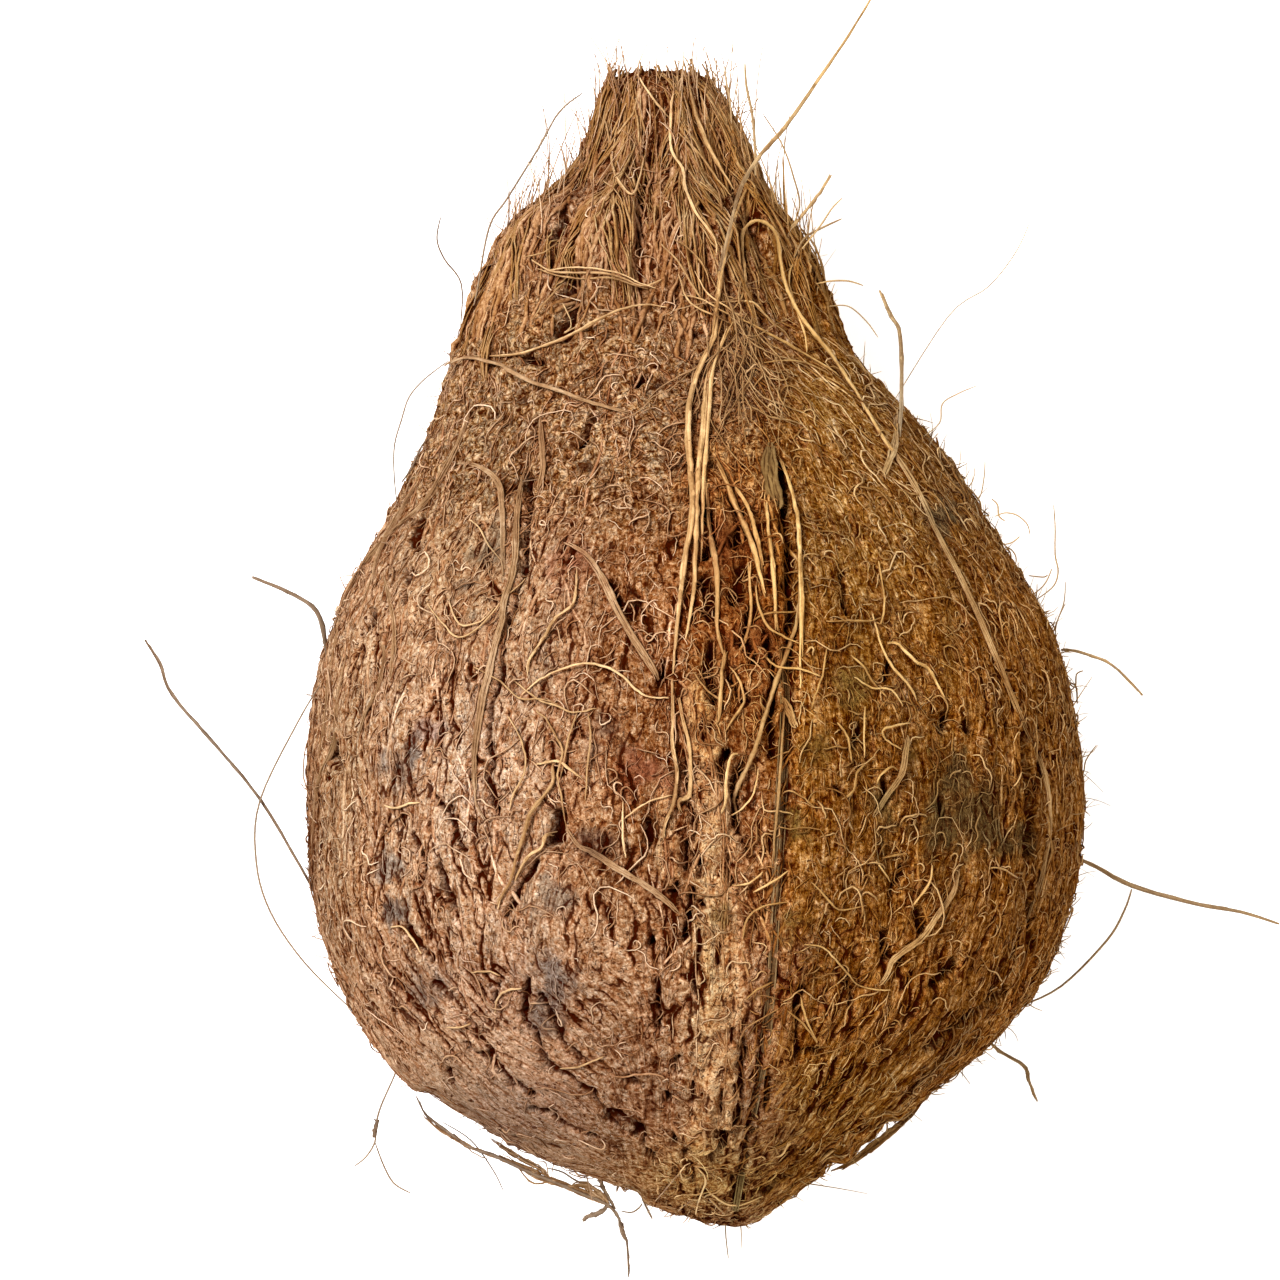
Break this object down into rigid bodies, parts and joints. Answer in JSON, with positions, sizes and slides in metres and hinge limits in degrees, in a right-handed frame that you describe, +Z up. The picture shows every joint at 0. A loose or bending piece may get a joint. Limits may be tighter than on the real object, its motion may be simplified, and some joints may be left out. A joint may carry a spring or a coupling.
{
  "type": "semi-husked coconut",
  "caption": "Pear-shaped semi-husked coconut lying on its side: fibrous coat with three ridges, a tuft of fibre at the stem end and a few long loose fibres.",
  "frame": {"origin": "on the small flat that the nut rests on, straight below its centre of mass", "axes": "+Z up from the surface it lies on, through the ridge on top; +Y along the nut towards the tuft; +X to the right, seen from above with the tuft at the far end"},
  "size_m": [0.1537, 0.1737, 0.1007],
  "materials": {
    "husk": "matt, fibrous, crumbly",
    "coir_fibre": "dry fibre with a faint sheen"
  },
  "bodies": {
    "root": {"coconut": "husk", "top_loose_fibre": "coir_fibre", "left_loose_fibre": "coir_fibre", "right_loose_fibre": "coir_fibre", "base_loose_fibre": "coir_fibre"}
  },
  "joints": []
}
